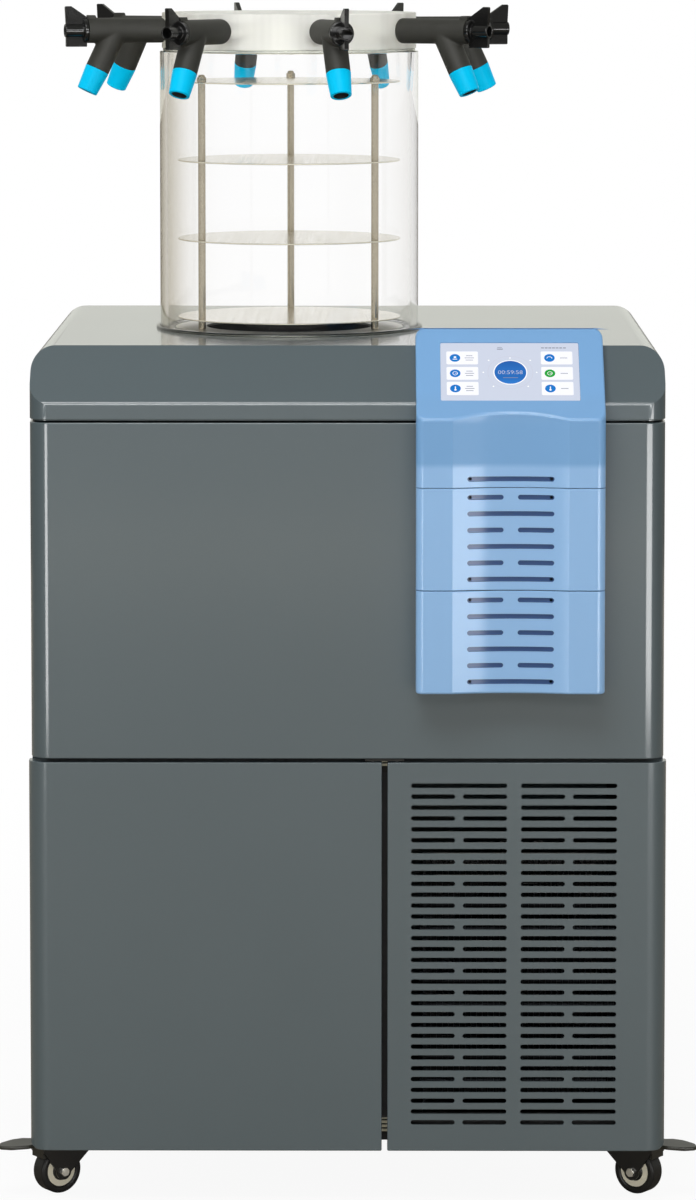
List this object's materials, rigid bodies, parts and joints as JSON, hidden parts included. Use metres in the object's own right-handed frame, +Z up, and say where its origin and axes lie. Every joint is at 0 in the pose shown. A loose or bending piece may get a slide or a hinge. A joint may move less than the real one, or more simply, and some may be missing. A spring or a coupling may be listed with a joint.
{
  "type": "freeze dryer",
  "caption": "Floor-standing freeze dryer on casters: steel cabinet with louvred door, sloped console with touch screen, clear drying chamber with shelves and side flask valves.",
  "frame": {"origin": "on the floor, below the middle of the whole object's box", "axes": "+X to the user's right facing the doors, +Y to the rear, +Z up"},
  "size_m": [0.759, 0.68, 1.2916],
  "materials": {
    "cabinet_paint": "glossy baked enamel, dark grey",
    "frame_steel": "matt black paint",
    "bright_steel": "satin",
    "console_plastic": "fine satin moulding, light blue",
    "screen_glass": "glossy, lit pale display",
    "acrylic": "clear polished acrylic",
    "clear_seal": "translucent",
    "valve_rubber": "satin, charcoal",
    "knob_plastic": "glossy black",
    "sleeve_rubber": "satin bright blue",
    "copper": "plain drawn tube",
    "machine_black": "satin black enamel",
    "pump_paint": "satin green grey enamel",
    "aluminium_fins": "plain",
    "black_plastic": "matt",
    "fork_black": "satin black",
    "wheel_rubber": "satin black tread",
    "pedal_nylon": "satin dark grey"
  },
  "bodies": {
    "cabinet": {"base_frame": "frame_steel", "left_side_panel": "cabinet_paint", "right_side_panel": "cabinet_paint", "rear_panel": "cabinet_paint", "upper_front_panel": "cabinet_paint", "top_cover": "cabinet_paint", "hinge_brackets": "bright_steel", "console_shell": "console_plastic", "console_middle_cover": "console_plastic", "console_lower_cover": "console_plastic", "touch_screen": "screen_glass", "deck_gasket": "clear_seal", "chamber_cylinder": "acrylic", "manifold_head": "acrylic", "head_seal": "clear_seal", "valve_body_1": "valve_rubber", "valve_body_2": "valve_rubber", "valve_body_3": "valve_rubber", "valve_body_4": "valve_rubber", "valve_body_5": "valve_rubber", "valve_body_6": "valve_rubber", "valve_body_7": "valve_rubber", "valve_body_8": "valve_rubber", "outlet_sleeves": "sleeve_rubber", "shelf_plates": "bright_steel", "shelf_rods": "bright_steel", "shelf_spacers": "bright_steel", "shelf_nuts": "bright_steel", "cold_trap": "bright_steel", "trap_coil": "copper", "compressor": "machine_black", "condenser": "aluminium_fins", "fan_shroud": "machine_black", "vacuum_pump": "pump_paint", "vacuum_line": "bright_steel", "drain_line": "bright_steel", "power_inlet": "black_plastic", "caster_plates": "bright_steel"},
    "left_door": {"left_door": "cabinet_paint"},
    "right_door": {"right_door": "cabinet_paint"},
    "knob_1": {"valve_knob_1": "knob_plastic"},
    "knob_2": {"valve_knob_2": "knob_plastic"},
    "knob_3": {"valve_knob_3": "knob_plastic"},
    "knob_4": {"valve_knob_4": "knob_plastic"},
    "knob_5": {"valve_knob_5": "knob_plastic"},
    "knob_6": {"valve_knob_6": "knob_plastic"},
    "knob_7": {"valve_knob_7": "knob_plastic"},
    "knob_8": {"valve_knob_8": "knob_plastic"},
    "fan": {"fan_rotor": "black_plastic"},
    "switch": {"power_switch": "black_plastic"},
    "caster_1": {"caster_fork_1": "fork_black"},
    "wheel_1": {"caster_wheel_1": "wheel_rubber"},
    "brake_1": {"caster_brake_1": "pedal_nylon"},
    "caster_2": {"caster_fork_2": "fork_black"},
    "wheel_2": {"caster_wheel_2": "wheel_rubber"},
    "brake_2": {"caster_brake_2": "pedal_nylon"},
    "caster_3": {"caster_fork_3": "fork_black"},
    "wheel_3": {"caster_wheel_3": "wheel_rubber"},
    "caster_4": {"caster_fork_4": "fork_black"},
    "wheel_4": {"caster_wheel_4": "wheel_rubber"}
  },
  "joints": [
    {"name": "left_door_hinge", "type": "hinge", "parent": "cabinet", "child": "left_door", "pos_m": [0.027, -0.292, 0.27], "axis": [0, 0, 1], "range_deg": [0, 90]},
    {"name": "right_door_hinge", "type": "hinge", "parent": "cabinet", "child": "right_door", "pos_m": [0.053, -0.292, 0.27], "axis": [0, 0, -1], "range_deg": [0, 90]},
    {"name": "knob_1_turn", "type": "hinge", "parent": "cabinet", "child": "knob_1", "pos_m": [0.16482, 0.07012, 1.2646], "axis": [0.9659, 0.2588, 0], "range_deg": [0, 180]},
    {"name": "knob_2_turn", "type": "hinge", "parent": "cabinet", "child": "knob_2", "pos_m": [0.053, 0.21585, 1.2646], "axis": [0.5, 0.866, 0], "range_deg": [0, 180]},
    {"name": "knob_3_turn", "type": "hinge", "parent": "cabinet", "child": "knob_3", "pos_m": [-0.12912, 0.23982, 1.2646], "axis": [-0.2588, 0.9659, 0], "range_deg": [0, 180]},
    {"name": "knob_4_turn", "type": "hinge", "parent": "cabinet", "child": "knob_4", "pos_m": [-0.27485, 0.128, 1.2646], "axis": [-0.866, 0.5, 0], "range_deg": [0, 180]},
    {"name": "knob_5_turn", "type": "hinge", "parent": "cabinet", "child": "knob_5", "pos_m": [-0.29882, -0.05412, 1.2646], "axis": [-0.9659, -0.2588, 0], "range_deg": [0, 180]},
    {"name": "knob_6_turn", "type": "hinge", "parent": "cabinet", "child": "knob_6", "pos_m": [-0.187, -0.19985, 1.2646], "axis": [-0.5, -0.866, 0], "range_deg": [0, 180]},
    {"name": "knob_7_turn", "type": "hinge", "parent": "cabinet", "child": "knob_7", "pos_m": [-0.00488, -0.22382, 1.2646], "axis": [0.2588, -0.9659, 0], "range_deg": [0, 180]},
    {"name": "knob_8_turn", "type": "hinge", "parent": "cabinet", "child": "knob_8", "pos_m": [0.14085, -0.112, 1.2646], "axis": [0.866, -0.5, 0], "range_deg": [0, 180]},
    {"name": "fan_spin", "type": "hinge", "parent": "cabinet", "child": "fan", "pos_m": [0.2, -0.19, 0.236], "axis": [0, 1, 0], "continuous": true},
    {"name": "switch_rock", "type": "hinge", "parent": "cabinet", "child": "switch", "pos_m": [0.273, 0.324, 0.141], "axis": [-1, 0, 0], "range_deg": [0, 16]},
    {"name": "caster_1_swivel", "type": "hinge", "parent": "cabinet", "child": "caster_1", "pos_m": [-0.3, -0.22, 0.058], "axis": [0, 0, 1], "continuous": true},
    {"name": "wheel_1_roll", "type": "hinge", "parent": "caster_1", "child": "wheel_1", "pos_m": [-0.31802, -0.23262, 0.025], "axis": [0.5736, -0.8192, 0], "continuous": true},
    {"name": "brake_1_press", "type": "hinge", "parent": "caster_1", "child": "brake_1", "pos_m": [-0.3344, -0.24409, 0.052], "axis": [0.5736, -0.8192, 0], "range_deg": [0, 12]},
    {"name": "caster_2_swivel", "type": "hinge", "parent": "cabinet", "child": "caster_2", "pos_m": [0.3, -0.22, 0.058], "axis": [0, 0, 1], "continuous": true},
    {"name": "wheel_2_roll", "type": "hinge", "parent": "caster_2", "child": "wheel_2", "pos_m": [0.31802, -0.23262, 0.025], "axis": [0.5736, 0.8192, 0], "continuous": true},
    {"name": "brake_2_press", "type": "hinge", "parent": "caster_2", "child": "brake_2", "pos_m": [0.3344, -0.24409, 0.052], "axis": [0.5736, 0.8192, 0], "range_deg": [0, 12]},
    {"name": "caster_3_swivel", "type": "hinge", "parent": "cabinet", "child": "caster_3", "pos_m": [-0.3, 0.26, 0.058], "axis": [0, 0, 1], "continuous": true},
    {"name": "wheel_3_roll", "type": "hinge", "parent": "caster_3", "child": "wheel_3", "pos_m": [-0.30752, 0.28067, 0.025], "axis": [-0.9397, -0.342, 0], "continuous": true},
    {"name": "caster_4_swivel", "type": "hinge", "parent": "cabinet", "child": "caster_4", "pos_m": [0.3, 0.26, 0.058], "axis": [0, 0, 1], "continuous": true},
    {"name": "wheel_4_roll", "type": "hinge", "parent": "caster_4", "child": "wheel_4", "pos_m": [0.30752, 0.28067, 0.025], "axis": [-0.9397, 0.342, 0], "continuous": true}
  ]
}
